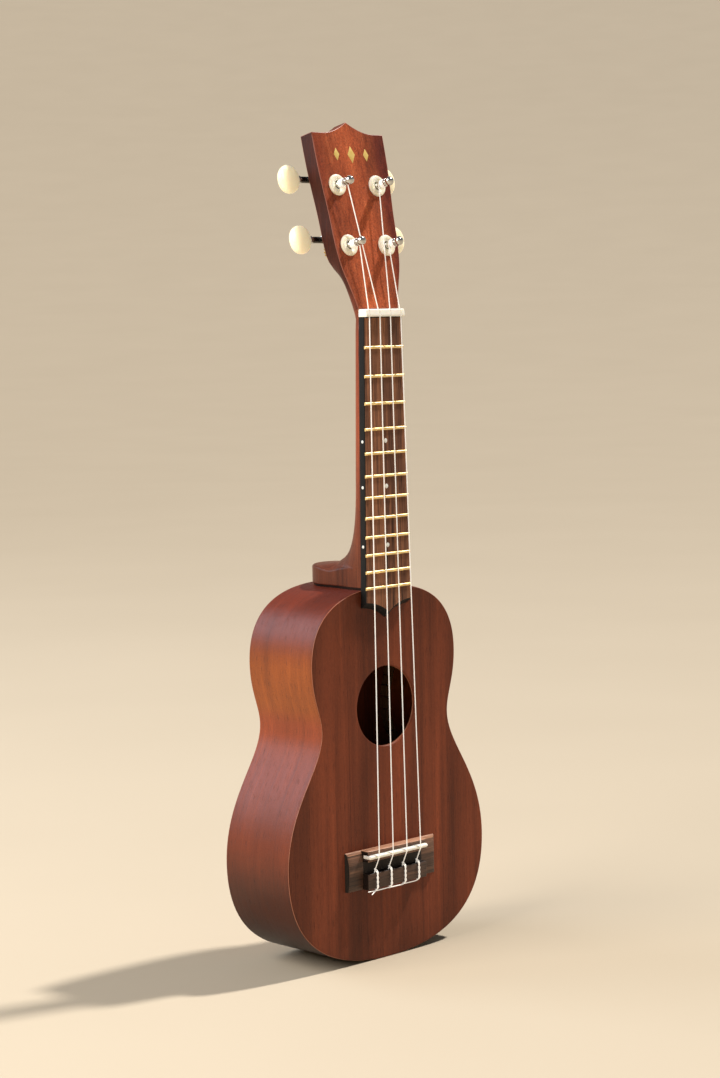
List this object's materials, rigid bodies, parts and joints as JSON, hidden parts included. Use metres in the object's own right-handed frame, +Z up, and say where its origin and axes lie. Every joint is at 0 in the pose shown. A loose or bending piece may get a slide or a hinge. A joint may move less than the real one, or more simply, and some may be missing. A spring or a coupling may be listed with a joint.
{
  "type": "ukulele",
  "caption": "Soprano ukulele: waisted flat-backed sound box, round sound hole, tie bridge, fretted neck, tilted headstock and side-mounted geared tuners.",
  "frame": {"origin": "centre of the bounding box in X and Y, at the lowest point of the tail (Z = 0)", "axes": "+Z up the neck towards the headstock, the soundboard faces -Y, +X is the right (treble) side seen from the front"},
  "size_m": [0.1776, 0.0698, 0.539],
  "materials": {
    "body_mahogany": "satin open-pore, vertical grain",
    "neck_mahogany": "satin",
    "inner_wood": "raw, unfinished",
    "fretboard_wood": "oiled, open-pore, edges painted black",
    "bridge_wood": "oiled, open-pore",
    "fret_wire": "polished",
    "white_plastic": "satin",
    "nylon_string": "translucent white",
    "tuner_chrome": "polished",
    "gear_brass": "satin",
    "cream_plastic": "soft gloss"
  },
  "bodies": {
    "root": {"soundboard": "body_mahogany", "back": "body_mahogany", "side_bass": "body_mahogany", "side_treble": "body_mahogany", "neck_block": "inner_wood", "tail_block": "inner_wood", "lining_front_bass": "inner_wood", "lining_front_treble": "inner_wood", "lining_back_bass": "inner_wood", "lining_back_treble": "inner_wood", "soundboard_brace_upper": "inner_wood", "soundboard_brace_lower": "inner_wood", "back_brace_upper": "inner_wood", "back_brace_lower": "inner_wood", "bridge_plate": "inner_wood", "neck": "neck_mahogany", "fretboard": "fretboard_wood", "fret_01": "fret_wire", "fret_02": "fret_wire", "fret_03": "fret_wire", "fret_04": "fret_wire", "fret_05": "fret_wire", "fret_06": "fret_wire", "fret_07": "fret_wire", "fret_08": "fret_wire", "fret_09": "fret_wire", "fret_10": "fret_wire", "fret_11": "fret_wire", "fret_12": "fret_wire", "nut": "white_plastic", "bridge": "bridge_wood", "saddle": "white_plastic", "string_1": "nylon_string", "string_2": "nylon_string", "string_3": "nylon_string", "string_4": "nylon_string", "tuner_plate_1": "tuner_chrome", "bushing_1": "cream_plastic", "tuner_plate_2": "tuner_chrome", "bushing_2": "cream_plastic", "tuner_plate_3": "tuner_chrome", "bushing_3": "cream_plastic", "tuner_plate_4": "tuner_chrome", "bushing_4": "cream_plastic"},
    "knob_1": {"worm_shaft_1": "tuner_chrome", "button_1": "cream_plastic"},
    "post_1": {"string_post_1": "tuner_chrome", "post_gear_1": "gear_brass"},
    "knob_2": {"worm_shaft_2": "tuner_chrome", "button_2": "cream_plastic"},
    "post_2": {"string_post_2": "tuner_chrome", "post_gear_2": "gear_brass"},
    "knob_3": {"worm_shaft_3": "tuner_chrome", "button_3": "cream_plastic"},
    "post_3": {"string_post_3": "tuner_chrome", "post_gear_3": "gear_brass"},
    "knob_4": {"worm_shaft_4": "tuner_chrome", "button_4": "cream_plastic"},
    "post_4": {"string_post_4": "tuner_chrome", "post_gear_4": "gear_brass"}
  },
  "joints": [
    {"name": "knob_turn_1", "type": "hinge", "parent": "root", "child": "knob_1", "pos_m": [-0.0167, 0.00161, 0.46397], "axis": [-1, 0, 0], "continuous": true},
    {"name": "post_turn_1", "type": "hinge", "parent": "root", "child": "post_1", "pos_m": [-0.0167, -0.01629, 0.45998], "axis": [0, 0.9759, -0.2181], "continuous": true},
    {"name": "knob_turn_2", "type": "hinge", "parent": "root", "child": "knob_2", "pos_m": [-0.0176, 0.01017, 0.50223], "axis": [-1, 0, 0], "continuous": true},
    {"name": "post_turn_2", "type": "hinge", "parent": "root", "child": "post_2", "pos_m": [-0.0176, -0.00774, 0.49824], "axis": [0, 0.9759, -0.2181], "continuous": true},
    {"name": "knob_turn_3", "type": "hinge", "parent": "root", "child": "knob_3", "pos_m": [0.0176, 0.01017, 0.50223], "axis": [1, 0, 0], "continuous": true},
    {"name": "post_turn_3", "type": "hinge", "parent": "root", "child": "post_3", "pos_m": [0.0176, -0.00774, 0.49824], "axis": [0, 0.9759, -0.2181], "continuous": true},
    {"name": "knob_turn_4", "type": "hinge", "parent": "root", "child": "knob_4", "pos_m": [0.0167, 0.00161, 0.46397], "axis": [1, 0, 0], "continuous": true},
    {"name": "post_turn_4", "type": "hinge", "parent": "root", "child": "post_4", "pos_m": [0.0167, -0.01629, 0.45998], "axis": [0, 0.9759, -0.2181], "continuous": true}
  ],
  "couplings": [
    {"joint": "post_turn_1", "follows": "knob_turn_1", "ratio": -0.071429},
    {"joint": "post_turn_2", "follows": "knob_turn_2", "ratio": -0.071429},
    {"joint": "post_turn_3", "follows": "knob_turn_3", "ratio": 0.071429},
    {"joint": "post_turn_4", "follows": "knob_turn_4", "ratio": 0.071429}
  ]
}
